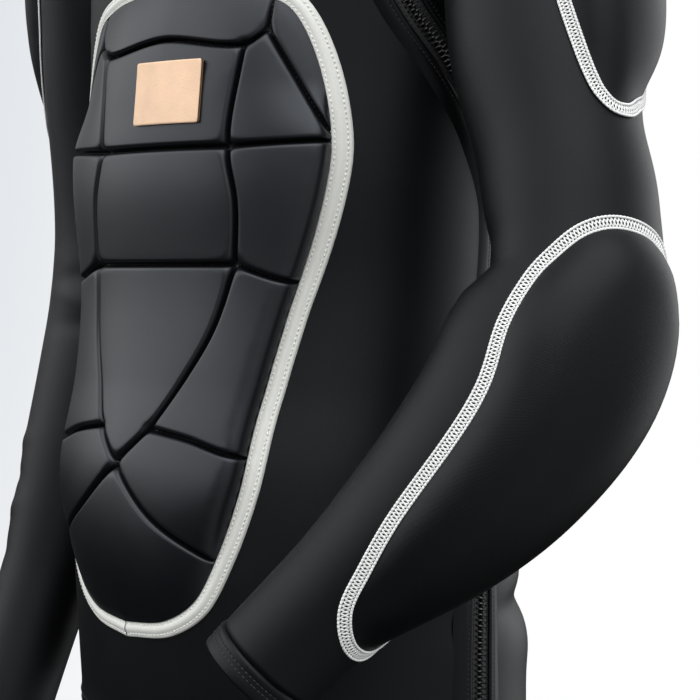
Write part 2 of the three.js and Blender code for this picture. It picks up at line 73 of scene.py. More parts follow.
# Pads on a sleeve: distance along the arm, middle angle and half angle in degrees
SHOULDER_PAD = np.array([
    (84, 53, 20), (92, 52, 36), (120, 51, 49), (160, 53, 51), (200, 54, 50), (240, 54, 43),
    (257, 48, 32), (266, 40, 19), (272, 37, 7),
], float)
ELBOW_PAD = np.array([
    (329, 38, 15), (335, 38, 33), (346, 38, 47), (360, 39, 60), (385, 41, 70), (420, 44, 68),
    (490, 49, 65), (520, 51, 55), (540, 52, 43), (552, 53, 17),
], float)
SHOULDER_THICK, ELBOW_THICK = 14, 13
# Chest pad: outer edge of the binding on the wearer's left, and the corners of its grooves
PAD_EDGE = [(0, -172), (56, -179), (82, -193), (104.5, -268), (89, -365), (86.5, -410), (89, -455),
            (80.5, -493), (64, -524), (38, -540), (0, -545.5)]
CORNER = {
    "archMiddle": (0, -211), "archEnd": (51, -216), "diagonalTop": (62.5, -208),
    "topOuter": (66.5, -160), "diagonalRim": (96.5, -267.5), "diagonalFoot": (101, -268.5),
    "ribs": (46.5, -271.5), "ribsWaist": (52, -300), "tongueTop": (52, -334.5), "waistOuter": (81.5, -344.5),
    "tongueMid": (44.5, -374), "tongueLow": (34.5, -399), "tongueFoot": (20, -427.5),
    "tip": (0, -447), "bellyMid": (48, -432), "bellyOuter": (75.5, -439), "hipMid": (31, -472.5),
    "hipOuter": (69, -494.5), "footOuter": (98, -515),
}
BINDING_WIDTH = 10
BLOCK_TOP = 13
PATCH = {"width": 44.5, "height": 35, "thick": 1.8, "x": 8, "z": -241.5, "round": 0.9}
# Zip on the wearer's left: height and angle from the front
ZIP_LINE = np.array([
    (-30, 25), (-80, 33), (-140, 44), (-194, 59.5), (-226, 74), (-262, 91), (-305, 106),
    (-370, 108), (-470, 100), (-545, 92), (-608, 90),
], float)
CUFF_LENGTH = 13
NECK_HEIGHT, NECK_TAPER = 26, 0.97
CLOTH = 2

# Soft folds: place along, angle in degrees, tilt from level, half length, half width, height
BODY_FOLDS = [
    (-215, -60, 82, 42, 4, 2.0), (-238, -68, 86, 46, 4.5, 2.2), (-228, -64, 84, 44, 4, -1.6),
    (-290, -72, 75, 40, 6, 1.2), (-527, 122, 2, 70, 9, -4.2), (-506, 124, 6, 62, 12, 1.8),
    (-551, 124, -4, 66, 14, 1.8), (-398, 178, 3, 70, 9, 2.0), (-421, 170, -5, 62, 9, 2.2),
    (-447, 186, 4, 66, 10, 1.9), (-372, 190, -6, 52, 8, 1.3), (-409, 214, 12, 46, 8, -1.6),
    (-434, 146, -12, 44, 8, -1.5), (-118, 146, 58, 46, 9, 1.6), (-118, 214, -58, 46, 9, 1.6),
    (-146, 138, 50, 40, 8, -1.2), (-146, 222, -50, 40, 8, -1.2), (-432, -112, 10, 48, 9, 1.8),
    (-458, -108, -4, 52, 10, -1.8), (-486, -114, 4, 46, 10, 1.4),
]
SLEEVE_FOLDS = {
    "left": [
        (342, -98, 0, 44, 26, -13), (349, -104, 0, 36, 5, -4), (225, -90, 0, 44, 48, 6),
        (266, 88, 0, 44, 26, -6), (365, -108, 4, 34, 7, 1.5), (140, -140, 20, 30, 7, 1.6),
        (160, -150, 14, 28, 7, -1.4), (182, -142, 18, 26, 8, 1.2),
    ],
    "right": [
        (455, 10, 6, 22, 6, 1.3), (478, 14, -4, 24, 5, -1.3), (501, 8, 8, 22, 6, 1.3),
        (528, 14, -6, 20, 6, -1.1), (552, 6, 4, 20, 6, 1.1), (330, -60, 8, 30, 7, -1.4),
        (348, -66, -6, 34, 8, 1.5), (366, -60, 6, 28, 7, -1.2), (140, -140, 20, 30, 7, 1.6),
        (160, -150, 14, 28, 7, -1.4),
    ],
}


# Curves and tables
def hermite(t, a, b, ma, mb):
    t2, t3 = t * t, t * t * t
    return (2 * t3 - 3 * t2 + 1) * a + (t3 - 2 * t2 + t) * ma + (3 * t2 - 2 * t3) * b + (t3 - t2) * mb


def from_table(rows, column, at):
    """A column's value, smooth between the rows."""
    key, value, at = rows[:, 0], rows[:, column], np.asarray(at, float)
    sign = 1 if key[-1] > key[0] else -1
    i = np.clip(np.searchsorted(sign * key, sign * at) - 1, 0, len(key) - 2)
    low, high = np.maximum(i - 1, 0), np.minimum(i + 2, len(key) - 1)
    span = key[i + 1] - key[i]
    t = np.clip((at - key[i]) / span, 0, 1)
    m1 = (value[i + 1] - value[low]) / (key[i + 1] - key[low]) * span
    m2 = (value[high] - value[i]) / (key[high] - key[i]) * span
    return hermite(t, value[i], value[i + 1], m1, m2)


def spline(points, per_side, closed=False):
    """A centripetal curve through the points."""
    p = np.asarray(points, float)
    if closed:
        p = np.concatenate([p[-1:], p, p[:2]])
    else:
        p = np.concatenate([[2 * p[0] - p[1]], p, [2 * p[-1] - p[-2]]])
    t = np.linspace(0, 1, per_side, endpoint=False)[:, None]
    parts = []
    for a, b, c, d in zip(p, p[1:], p[2:], p[3:]):
        d0, d1, d2 = (max(np.linalg.norm(v - u) ** 0.5, 1e-6) for u, v in ((a, b), (b, c), (c, d)))
        mb = d1 * ((b - a) / d0 - (c - a) / (d0 + d1) + (c - b) / d1)
        mc = d1 * ((c - b) / d1 - (d - b) / (d1 + d2) + (d - c) / d2)
        parts.append(hermite(t, b, c, mb, mc))
    if not closed:
        parts.append(p[-2:-1])
    return np.concatenate(parts)


def lengths(line):
    return np.concatenate([[0], np.cumsum(np.linalg.norm(np.diff(line, axis=0), axis=1))])


def between_rows(at, far, rows):
    """Rows at distances along a line, from rows that lie far along it."""
    return np.stack([np.interp(at, far, column) for column in rows.T], -1)


def resample(line, step, closed=False):
    """The line again, with points evenly about step apart."""
    if closed:
        line = np.concatenate([line, line[:1]])
    far = lengths(line)
    count = max(3, round(far[-1] / step))
    return between_rows(np.linspace(0, far[-1], count + 1)[:count if closed else None], far, line)


def unit(v):
    return v / np.maximum(np.linalg.norm(v, axis=-1, keepdims=True), 1e-12)


def circle(count):
    return np.linspace(0, 2 * np.pi, count + 1)


def ease(t):
    t = np.clip(t, 0, 1)
    return t * t * (3 - 2 * t)


def folds(rows, along, angle, radius):
    """Height of the soft folds in a table, at places on a tube of cloth."""
    total = np.zeros(np.broadcast(along, angle).shape)
    for place, middle, tilt, length, width, height in rows:
        c, s = math.cos(math.radians(tilt)), math.sin(math.radians(tilt))
        up = along - place
        round_it = ((angle - math.radians(middle) + math.pi) % (2 * math.pi) - math.pi) * radius
        total += height * np.exp(-(((up * s + round_it * c) / length) ** 2)
                                 - ((up * c - round_it * s) / width) ** 2)
    return total


# Surfaces of the cloth
def on_section(z, angle):
    half, front, back, lean, turn = (from_table(BODY, c, z) for c in range(1, 6))
    turn = np.radians(turn)
    x = half * np.sin(angle)
    y = (front + back) / 2 - (back - front) / 2 * np.cos(angle)
    c, s = np.cos(turn), np.sin(turn)
    return np.stack(np.broadcast_arrays(x * c + y * s, y * c - x * s, z + lean * y), -1)


def body_normal(z, angle):
    level = np.clip(z, HEM + 1, NECK - 1)
    across = on_section(level, angle + 0.02) - on_section(level, angle - 0.02)
    up = on_section(level + 1, angle) - on_section(level - 1, angle)
    return unit(np.cross(across, up))


def body_at(z, angle, out=0.0):
    z, angle, out = np.broadcast_arrays(np.asarray(z, float), angle, out)
    return on_section(z, angle) + body_normal(z, angle) * out[..., None]


def front_angle(x, z):
    return np.arcsin(np.clip(x / from_table(BODY, 1, z), -0.98, 0.98))


def on_front(flat, out=0.0):
    """Places over the front cloth, from distance to the middle, height, and how far out."""
    return body_at(flat[..., 1], front_angle(flat[..., 0], flat[..., 1]), out)


class Arm:
    """One sleeve's line and the cloth round it, by distance along it and angle."""

    def __init__(self, side):
        self.side, self.mirror = side, MIRROR[side]
        self.path = resample(spline(ARM_LINE[side], 120), 1)
        self.far = lengths(self.path)
        self.length = self.far[-1]
        self.tangent = unit(np.gradient(self.path, axis=0))

    def at(self, along, angle, out=0.0):
        along, angle, out = np.broadcast_arrays(np.asarray(along, float), angle, out)
        s = np.clip(along, 0, self.length)
        tangent = unit(between_rows(s, self.far, self.tangent))
        middle = between_rows(s, self.far, self.path) + tangent * (along - s)[..., None]
        facing = unit(FRONT_OUTER - tangent * (tangent @ FRONT_OUTER)[..., None])
        across = np.cross(facing, tangent)
        deep = (from_table(SLEEVE, 1, along) + out) * np.cos(angle)
        wide = (from_table(SLEEVE, 2, along) + out) * np.sin(angle)
        p = middle + facing * deep[..., None] + across * wide[..., None]
        return p * np.array([self.mirror, 1, 1])

    def folded(self, along, angle, out=0.0):
        """As at, over the sleeve's folds."""
        return self.at(along, angle, out + folds(SLEEVE_FOLDS[self.side], along, angle, SLEEVE_ROUND))

    def normal(self, along, angle):
        a = self.folded(along + 1, angle) - self.folded(along - 1, angle)
        b = self.folded(along, angle + 0.02) - self.folded(along, angle - 0.02)
        return unit(np.cross(a, b)) * self.mirror

    def track(self, along, angle, out):
        return Track(self.folded(along, angle, out), self.normal(along, angle), closed=True)


ARMS = {side: Arm(side) for side in MIRROR}


class Track:
    """A line on a surface: places by distance along it, across it and above it."""

    def __init__(self, path, normal, closed=False):
        if closed:
            path, normal = (np.concatenate([v, v[:1]]) for v in (path, normal))
        tangent = np.gradient(path, axis=0)
        if closed:
            tangent[[0, -1]] = path[1] - path[-2]
        self.closed, self.far = closed, lengths(path)
        self.length = self.far[-1]
        self.rows = (path, unit(np.cross(unit(tangent), normal)), normal)

    def look_up(self, along):
        s = np.mod(along, self.length) if self.closed else np.clip(along, 0, self.length)
        return [between_rows(s, self.far, v) for v in self.rows]

    def at(self, along, across, up):
        along, across, up = np.broadcast_arrays(along, across, up)
        place, side, normal = self.look_up(along)
        return place + side * across[..., None] + normal * up[..., None]


def body_track(z, angle, out=0.0, closed=False):
    z, angle = np.broadcast_arrays(np.asarray(z, float), angle)
    return Track(body_at(z, angle, out), body_normal(z, angle), closed)


def front_track(flat, out):
    return Track(on_front(flat, out), body_normal(flat[:, 1], front_angle(*flat.T)))


# Meshes
def grid(points, closed=False, flip=False):
    """Faces of a grid of points, which are given as rows of columns."""
    rows, columns = points.shape[:2]
    r, c = np.meshgrid(np.arange(rows - 1), np.arange(columns if closed else columns - 1), indexing="ij")
    d = (c + 1) % columns
    quads = np.stack([r * columns + c, (r + 1) * columns + c, (r + 1) * columns + d, r * columns + d], -1)
    quads = quads.reshape(-1, 4)
    return [tuple(q) for q in (quads[:, ::-1] if flip else quads).tolist()]


def smooth_object(name, points, faces, material):
    mesh = bpy.data.meshes.new(name)
    mesh.from_pydata(points.reshape(-1, 3).tolist(), [], faces)
    mesh.polygons.foreach_set("use_smooth", np.ones(len(mesh.polygons), bool))
    mesh.materials.append(material)
    obj = bpy.data.objects.new(name, mesh)
    SCENE.collection.objects.link(obj)
    return obj


def piece(name, points, faces, material, slot=None, stands_for=(), uv=None, weld=False, thick=0.0):
    """A part of the jacket from points in millimetres; uv is in metres, one for each point."""
    obj = smooth_object(name, points * MM, faces, material)
    mesh = obj.data
    if uv is not None:
        layer = mesh.uv_layers.new(name="cloth")
        corner = np.zeros(len(mesh.loops), np.int32)
        mesh.loops.foreach_get("vertex_index", corner)
        layer.data.foreach_set("uv", np.asarray(uv, np.float32).reshape(-1, 2)[corner].ravel())
    if weld:
        bm = bmesh.new()
        bm.from_mesh(mesh)
        bmesh.ops.remove_doubles(bm, verts=bm.verts, dist=1e-6)
        bm.to_mesh(mesh)
        bm.free()
    mesh.validate()
    if thick:
        solid = obj.modifiers.new("cloth", "SOLIDIFY")
        solid.thickness, solid.offset = thick * MM, -1
    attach(obj, "root")
    if stands_for:
        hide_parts(*stands_for)
    return obj


def join(parts):
    points, faces, start = [], [], 0
    for p, f in parts:
        points.append(np.asarray(p).reshape(-1, 3))
        faces += [tuple(k + start for k in face) for face in f]
        start += len(points[-1])
    return np.concatenate(points), faces


def orient(points, faces, under):
    """Turns faces so that they look away from the points under them."""
    turned = []
    for f in faces:
        a, b, c = (points[k] for k in f[:3])
        out = np.cross(b - a, c - a) @ (a - under[f[0]])
        turned.append(f if out > 0 else f[::-1])
    return turned


def renumber(faces):
    """The points that faces use, and the faces numbered by these alone."""
    used = sorted({k for f in faces for k in f})
    new = {k: i for i, k in enumerate(used)}
    return used, [tuple(new[k] for k in f) for f in faces]


def clip(points, faces, value, extra):
    """Cuts faces along value = 0 and keeps the part above it; also gives the cut's loop of points."""
    rows, value = [tuple(r) for r in np.concatenate([points, extra], 1)], list(value)
    made, kept, links = {}, [], {}

    def between(a, b):
        key = (min(a, b), max(a, b))
        if key not in made:
            t = value[a] / (value[a] - value[b])
            rows.append(tuple(u + (v - u) * t for u, v in zip(rows[a], rows[b])))
            made[key] = len(rows) - 1
        return made[key]

    for face in faces:
        above = [value[k] > 0 for k in face]
        if all(above):
            kept.append(tuple(face))
        elif any(above):
            ring, cut = [], []
            for i, a in enumerate(face):
                b = face[(i + 1) % len(face)]
                if value[a] > 0:
                    ring.append(a)
                if (value[a] > 0) != (value[b] > 0):
                    ring.append(between(a, b))
                    cut.append(ring[-1])
            kept.append(tuple(ring))
            for a, b in zip(cut, cut[::-1]):
                links.setdefault(a, []).append(b)
    loop, seen = [], set()
    if links:
        here = next(iter(links))
        while here not in seen:
            seen.add(here)
            loop.append(here)
            here = next((k for k in links[here] if k not in seen), here)
    used, kept = renumber(kept)
    rows = np.array(rows)
    return rows[used, :3], kept, rows[used, 3:], rows[loop, :3]


# Threads of flat seams and stitches: slants and reach in pitches, heights in millimetres
THREAD_END, THREAD_FLAT = 0.5, 0.8
CROSS_THREADS = ((1.6, 0.1), (-0.8, 0.25))  # slant and height
CROSS_BOW, CROSS_SHARE = 0.3, 0.62
RAIL_REACH, RAIL_LIFT, RAIL_BOW, RAIL_SWELL = 1.3, 0.25, 0.4, 0.2
STITCH_BOW, STITCH_SINK = 0.22, 0.1


def tubes(track, s, across, height, radius, flat=1.0, sides=5):
    """Closed round threads over a track, one for each row of places s, narrower at their ends."""
    lines = track.at(s, across, height)
    steps = lines.shape[1]
    tangent = unit(np.gradient(lines, axis=1))
    side = unit(np.cross(tangent, track.look_up(s)[2]))
    up = np.cross(side, tangent)
    taper = np.ones(steps)
    taper[[0, -1]] = THREAD_END
    a = np.arange(sides) / sides * 2 * np.pi
    ring = side[:, :, None] * np.cos(a)[:, None] + up[:, :, None] * np.sin(a)[:, None] * flat
    p = lines[:, :, None] + ring * radius * taper[:, None, None]
    one = grid(p[0], closed=True, flip=True)
    one.append(tuple(range(sides))[::-1])
    one.append(tuple((steps - 1) * sides + k for k in range(sides)))
    return p.reshape(-1, 3), repeat(one, len(lines), steps * sides)


def repeat(faces, count, size):
    return [tuple(k + n * size for k in f) for n in range(count) for f in faces]


def flatlock(name, track, width, pitch, thread, radius):
    """A flat seam: two rails of looped thread, and threads that cross between them."""
    pitch = track.length / round(track.length / pitch)
    at = np.arange(round(track.length / pitch))[:, None] * pitch
    t = np.linspace(0, 1, 5)
    bow, half = np.sin(np.pi * t), width / 2 - radius
    parts = []
    for slant, lift in CROSS_THREADS:
        s = at + slant * pitch * (t - 0.5)
        across, height = (2 * t - 1) * half, lift + CROSS_BOW * bow
        parts.append(tubes(track, s, across, height, radius * CROSS_SHARE, THREAD_FLAT))
    s = at + RAIL_REACH * pitch * (t - 0.5)
    for row in (-1, 1):
        across, height = row * (half + RAIL_SWELL * bow), RAIL_LIFT + RAIL_BOW * bow
        parts.append(tubes(track, s, across, height, radius, THREAD_FLAT))
    piece(name, *join(parts), thread)


def stitches(name, tracks, pitch, thread, radius=0.3, share=0.68):
    """Rows of single stitches; each row is a track with how far across and above it they lie."""
    parts = []
    t = np.linspace(0, 1, 4)
    for track, across, up in tracks:
        s = np.arange(round(track.length / pitch))[:, None] * pitch + share * pitch * t
        parts.append(tubes(track, s, across, up + STITCH_BOW * np.sin(np.pi * t) - STITCH_SINK, radius))
    piece(name, *join(parts), thread)


# Flat meshes of the pads
RING_CLEAR, CROWD = 0.92, 0.7  # in distances of a ring from its line
ROW_HEIGHT, GRID_CLEAR = 0.866, 0.6  # in spacings of the even points


def kd_tree(points):
    tree = KDTree(len(points))
    for i, p in enumerate(points):
        tree.insert(p, i)
    tree.balance()
    return tree


def nearest(targets, points):
    """How far each point is from the nearest target."""
    tree = kd_tree(targets)
    return np.array([tree.find(p)[2] for p in points])


def flat3(points):
    return np.concatenate([points, np.zeros((len(points), 1))], 1)


def thin(points, apart):
    """Leaves out points that crowd others."""
    tree = kd_tree(flat3(points))
    keep = np.ones(len(points), bool)
    for i, p in enumerate(flat3(points)):
        if keep[i]:
            crowd = [j for _, j, _ in tree.find_range(p, apart) if j > i]
            keep[crowd] = False
    return points[keep]


def inside(outline, points):
    """Which flat points lie in a flat closed outline."""
    x, y = points[:, 0][:, None], points[:, 1][:, None]
    a, b = outline, np.roll(outline, -1, axis=0)
    over = (a[:, 1] > y) != (b[:, 1] > y)
    with np.errstate(divide="ignore", invalid="ignore"):
        cross = a[:, 0] + (y - a[:, 1]) * (b[:, 0] - a[:, 0]) / (b[:, 1] - a[:, 1])
    return (over & (x < cross)).sum(1) % 2 == 1


def inset(outline, distance):
    normal = unit(np.roll(outline, -1, 0) - np.roll(outline, 1, 0))[:, ::-1] * np.array([1, -1])
    moved = outline + normal * distance
    return moved if inside(outline, moved).mean() > 0.5 else outline - normal * distance


def triangulate(lines, outline, spacing, rings):
    """A flat mesh inside an outline, whose edges follow the lines, finer beside them."""
    seeds, links, start = [outline] + lines, [], 0
    for line in seeds:
        n = len(line)
        links += [(start + i, start + (i + 1) % n) for i in range(n if line is outline else n - 1)]
        start += n
    fixed = np.concatenate(seeds)
    extra = []
    for line in seeds:
        normal = unit(np.gradient(line, axis=0))[:, ::-1] * np.array([1, -1])
        for d in [d * sign for d in rings for sign in (1, -1)]:
            p = line + normal * d
            extra.append(p[nearest(flat3(fixed), flat3(p)) > RING_CLEAR * abs(d)])
    low, high = outline.min(0), outline.max(0)
    for i, z in enumerate(np.arange(low[1], high[1], spacing * ROW_HEIGHT)):
        x = np.arange(low[0] + (i % 2) * spacing / 2, high[0], spacing)
        p = np.stack([x, np.full(len(x), z)], 1)
        extra.append(p[nearest(flat3(fixed), flat3(p)) > rings[-1] + spacing * GRID_CLEAR])
    extra = np.concatenate(extra)
    extra = thin(extra[inside(outline, extra)], rings[0] * CROWD)
    flat = np.concatenate([fixed, extra])
    points, _, faces, *_ = delaunay_2d_cdt([Vector(p) for p in flat], links, [], 1, 1e-5)
    return np.array([tuple(p) for p in points]), [tuple(f) for f in faces]


# Materials
KNIT_PITCH = {"X": 0.9, "Y": 0.72}
FLECK_SCALE, CLOUD_SCALE, HIDE_SCALE, GRAIN_SCALE = 900.0, 16.0, 60.0, 900.0


def material(name, colour, rough, **sockets):
    m = bpy.data.materials.new(name)
    m.use_nodes = True
    inputs = m.node_tree.nodes["Principled BSDF"].inputs
    for key, value in {"Base Color": (*colour, 1), "Roughness": rough, **sockets}.items():
        inputs[key.replace("_", " ")].default_value = value
    return m


def add(tree, kind, inputs=None, **settings):
    node = tree.nodes.new(kind)
    for key, value in settings.items():
        setattr(node, key, value)
    for key, value in (inputs or {}).items():
        if isinstance(value, bpy.types.NodeSocket):
            tree.links.new(value, node.inputs[key])
        else:
            node.inputs[key].default_value = value
    return node


def noise(tree, scale, detail=2.0):
    place = add(tree, "ShaderNodeTexCoord")
    return add(tree, "ShaderNodeTexNoise", {"Vector": place.outputs["Object"], "Scale": scale,
                                            "Detail": detail, "Roughness": 0.58}).outputs["Fac"]


def spread(tree, value, low, high):
    """A noise value taken to the range from low to high."""
    return add(tree, "ShaderNodeMapRange", {"Value": value, "From Min": 0.3, "From Max": 0.7,
                                            "To Min": low, "To Max": high}).outputs[0]


def math_node(tree, operation, *inputs):
    return add(tree, "ShaderNodeMath", dict(enumerate(inputs)), operation=operation).outputs[0]


def ramp(tree, place, axis, low, high, strength=1.0):
    """A value that rises smoothly along an axis, from nothing at low to its strength at high."""
    along = add(tree, "ShaderNodeVectorMath", {0: place, 1: axis}, operation="DOT_PRODUCT").outputs["Value"]
    limits = {"Value": along, "From Min": low, "From Max": high, "To Max": strength}
    return add(tree, "ShaderNodeMapRange", limits, interpolation_type="SMOOTHSTEP").outputs[0]


def finish_shader(tree, colour, tint, rough, height, strength, depth):
    """Joins a varied colour and roughness and a bump to a material's shader."""
    inputs = tree.nodes["Principled BSDF"].inputs
    tinted = add(tree, "ShaderNodeVectorMath", {0: colour, "Scale": tint}, operation="SCALE")
    bump = add(tree, "ShaderNodeBump", {"Height": height, "Strength": strength, "Distance": depth * MM})
    tree.links.new(tinted.outputs["Vector"], inputs["Base Color"])
    tree.links.new(rough, inputs["Roughness"])
    tree.links.new(bump.outputs["Normal"], inputs["Normal"])


def cloth(name, colour, rough, speck=0.12, depth=0.05, uv=False, **sockets):
    """Fine cloth: a knit's wales and courses in the bump, and a faint fleck in its colour."""
    m = material(name, colour, rough, **sockets)
    tree = m.node_tree
    fine, broad = noise(tree, FLECK_SCALE), noise(tree, CLOUD_SCALE, 3.0)
    both = math_node(tree, "MULTIPLY_ADD", fine, 0.6, math_node(tree, "MULTIPLY", broad, 0.4))
    height = fine
    if uv:
        where = add(tree, "ShaderNodeUVMap", uv_map="cloth")
        split = add(tree, "ShaderNodeSeparateXYZ", {0: where.outputs["UV"]})
        waves = []
        for axis, pitch in KNIT_PITCH.items():
            turns = math_node(tree, "MULTIPLY", split.outputs[axis], 2 * math.pi / (pitch * MM))
            waves.append(math_node(tree, "SINE", turns))
        height = math_node(tree, "MULTIPLY_ADD", math_node(tree, "MULTIPLY", *waves), 0.5, fine)
    tint = spread(tree, both, 1 - speck, 1 + speck)
    finish_shader(tree, colour, tint, spread(tree, broad, rough - 0.03, rough + 0.03), height, 1.0, depth)
    return m


def leather(name, colour):
    """Leather with a fine pebbled grain."""
    m = material(name, colour, 0.62)
    tree = m.node_tree
    broad = noise(tree, HIDE_SCALE, 4.0)
    place = add(tree, "ShaderNodeTexCoord")
    grain = add(tree, "ShaderNodeTexVoronoi", {"Vector": place.outputs["Object"], "Scale": GRAIN_SCALE},
                feature="SMOOTH_F1").outputs["Distance"]
    tint, rough = spread(tree, broad, 0.9, 1.07), spread(tree, broad, 0.55, 0.7)
    finish_shader(tree, colour, tint, rough, grain, 0.6, 0.12)
    return m


BLACK = (0.0026, 0.0027, 0.0032)
SATIN = {"Specular_IOR_Level": 0.19, "Specular_Tint": (0.9, 0.94, 1.0, 1)}
FOAM_SATIN = {"Specular_IOR_Level": 0.48, "Specular_Tint": (0.88, 0.93, 1.0, 1)}
KNIT = cloth("knit_black", BLACK, 0.4, uv=True, **SATIN)
PAD_KNIT = cloth("knit_over_foam", BLACK, 0.38, uv=True, **SATIN)
PAD_CLOTH = cloth("pad_cloth", (0.004, 0.0043, 0.0056), 0.36, depth=0.03, **FOAM_SATIN)
GROOVE = cloth("pad_base_cloth", (0.006, 0.0062, 0.0075), 0.7)
TAPE_GREY = cloth("binding_tape", (0.72, 0.72, 0.68), 0.6, speck=0.05, Sheen_Weight=0.1)
THREAD = cloth("thread_white", (0.82, 0.82, 0.81), 0.55, speck=0.05, Sheen_Weight=0.1)
THREAD_LIGHT = cloth("thread_light", (0.84, 0.84, 0.81), 0.6, speck=0.05)
THREAD_BLACK = cloth("thread_black", (0.012, 0.012, 0.013), 0.42, speck=0.1)
LEATHER = leather("leather_tan", (0.86, 0.585, 0.395))
LEATHER_EDGE = cloth("leather_edge", (0.3, 0.16, 0.08), 0.75)
ZIP_FOLD = cloth("knit_fold", BLACK, 0.4, **SATIN)
ZIP_TAPE = cloth("zip_tape", (0.01, 0.01, 0.011), 0.55, depth=0.12)
RESIN = cloth("zip_resin", (0.01, 0.01, 0.011), 0.24, depth=0.01)


# Cloth of the body and the sleeves
BODY_ROWS, BODY_COLUMNS = 180, 236
SHOULDER, SHOULDER_ROWS = -70, 30
SLEEVE_ROWS, SLEEVE_COLUMNS = 200, 108
BODY_ROUND, SLEEVE_ROUND = 125, 46
UV_RADIUS = {"body": 0.13, "cuff": 0.03, "neckband": 0.065}  # metres
FILLET, SETTLE_ROUNDS, LEAST_SLOPE = 30, 4, 0.2
HEM_BAND = 18
# Parts of the cloth that an armhole's smooth joint can reach
JOINT_ABOVE, JOINT_BESIDE, JOINT_ALONG = -290, 60, 200
SLEEVE_START, SLEEVE_END = -40, 0.4


def tree_of(points):
    return BVHTree.FromPolygons(points.reshape(-1, 3).tolist(), grid(points))


def field(tree, sign, points):
    """Signed distance to a surface, and the direction away from it."""
    far, away = np.zeros(len(points)), np.zeros((len(points), 3))
    for i, p in enumerate(points):
        place, normal, _, distance = tree.find_nearest(p)
        off, normal = p - np.array(place), np.array(normal) * sign
        side = 1.0 if off @ normal >= 0 else -1.0
        far[i] = side * distance
        away[i] = off / distance * side if distance > 1e-3 else normal
    return far, away


def settle(points, body_tree, arm_tree, sign):
    """Moves points near an armhole on to the smooth joint of the two cloths."""
    p = points.copy()
    for _ in range(SETTLE_ROUNDS):
        a, ga = field(body_tree, 1, p)
        b, gb = field(arm_tree, sign, p)
        square = 1 - (ga * gb).sum(1) ** 2
        k = np.maximum(FILLET * square, 1e-3)
        h = np.clip(1 - np.abs(a - b) / k, 0, 1)
        f = np.minimum(a, b) - h * h * k / 4
        near = (a < b)[:, None]
        g = np.where(near, ga, gb) * (1 - h / 2)[:, None] + np.where(near, gb, ga) * (h / 2)[:, None]
        p = p - g * (f / np.maximum((g * g).sum(1), LEAST_SLOPE))[:, None]
    a, _ = field(body_tree, 1, p)
    b, _ = field(arm_tree, sign, p)
    return p, b - a


body_z = np.concatenate([np.linspace(NECK, SHOULDER, SHOULDER_ROWS, endpoint=False),
                         np.linspace(SHOULDER, HEM, BODY_ROWS - SHOULDER_ROWS)])
body_angle = circle(BODY_COLUMNS)
hem_band = 0.7 * ease((HEM + HEM_BAND + 1 - body_z) / 2)[:, None]
body_out = folds(BODY_FOLDS, body_z[:, None], body_angle, BODY_ROUND) + hem_band
body_grid = body_at(body_z[:, None], body_angle, body_out)
body_uv = np.stack(np.meshgrid(body_angle * UV_RADIUS["body"], body_z * MM), -1)
body_tree = tree_of(body_grid)
body_points, body_faces, body_uv = body_grid.reshape(-1, 3), grid(body_grid), body_uv.reshape(-1, 2)
ARMHOLE = {}
for side, arm in ARMS.items():
    along = np.linspace(SLEEVE_START, arm.length - CUFF_LENGTH - SLEEVE_END, SLEEVE_ROWS)
    angle = circle(SLEEVE_COLUMNS)
    tube = arm.folded(along[:, None], angle)
    uv = np.stack(np.meshgrid(angle * SLEEVE_ROUND * MM, along * MM), -1)
    arm_tree = tree_of(tube)
    points, value = tube.reshape(-1, 3), np.ones(tube.size // 3)
    near = np.repeat(along, SLEEVE_COLUMNS + 1) < JOINT_ALONG
    points[near], value[near] = settle(points[near], body_tree, arm_tree, arm.mirror)
    value[near] *= -1
    points, faces, uv, _ = clip(points, grid(tube, flip=arm.mirror < 0), value, uv.reshape(-1, 2))
    sleeve = piece("sleeve_" + side, points, faces, KNIT, "knit", ("sleeve_" + side,), uv, True, CLOTH)

    near = (body_points[:, 0] * arm.mirror > JOINT_BESIDE) & (body_points[:, 2] > JOINT_ABOVE)
    value = np.ones(len(body_points))
    body_points = body_points.copy()
    body_points[near], value[near] = settle(body_points[near], body_tree, arm_tree, arm.mirror)
    body_points, body_faces, body_uv, ARMHOLE[side] = clip(body_points, body_faces, value, body_uv)

PANELS = ("yoke_front", "yoke_back", "body_front", "body_back")
body = piece("body", body_points, body_faces, KNIT, "knit", PANELS, body_uv, True, CLOTH)


# Seams of the body cloth
SIDE_SEAM_TOP = -200
YOKE_SPANS = {"front": (-62, 41), "back": (118, 242)}  # degrees from the front
HEM_STITCH_ROWS = (3, 8)


def seam_track(loop):
    """A track on the body's finished cloth along a rough loop."""
    tree = BVHTree.FromPolygons([tuple(p) for p in body_points], body_faces)
    found = [tree.find_nearest(p) for p in loop]
    path, normal = (np.array([tuple(f[k]) for f in found]) for k in (0, 1))
    return Track(path, normal, closed=True)


def black_seam(name, track):
    flatlock(name, track, 5.0, 2.8, THREAD_BLACK, 0.55)


def smooth_loop(loop, rounds=6):
    for _ in range(rounds):
        loop = (np.roll(loop, 1, 0) + 2 * loop + np.roll(loop, -1, 0)) / 4
    return loop


for side, loop in ARMHOLE.items():
    black_seam("armhole_seam_" + side, seam_track(smooth_loop(resample(loop, 4, True))))
down, side_angle = np.linspace(SIDE_SEAM_TOP, HEM + HEM_BAND + 2, 90), -np.pi / 2
black_seam("side_seam_right", body_track(down, side_angle, folds(BODY_FOLDS, down, side_angle, BODY_ROUND)))
for name, span in YOKE_SPANS.items():
    angle = np.radians(np.linspace(*span, 80))
    out = folds(BODY_FOLDS, YOKE_SEAM, angle, BODY_ROUND)
    black_seam("yoke_seam_" + name, body_track(YOKE_SEAM, angle, out))
angle = circle(240)[:-1]
rows = [(body_track(HEM + HEM_BAND - below, angle, 0.75, True), 0, 0) for below in HEM_STITCH_ROWS]
stitches("hem_stitches", rows, 3.2, THREAD_BLACK)


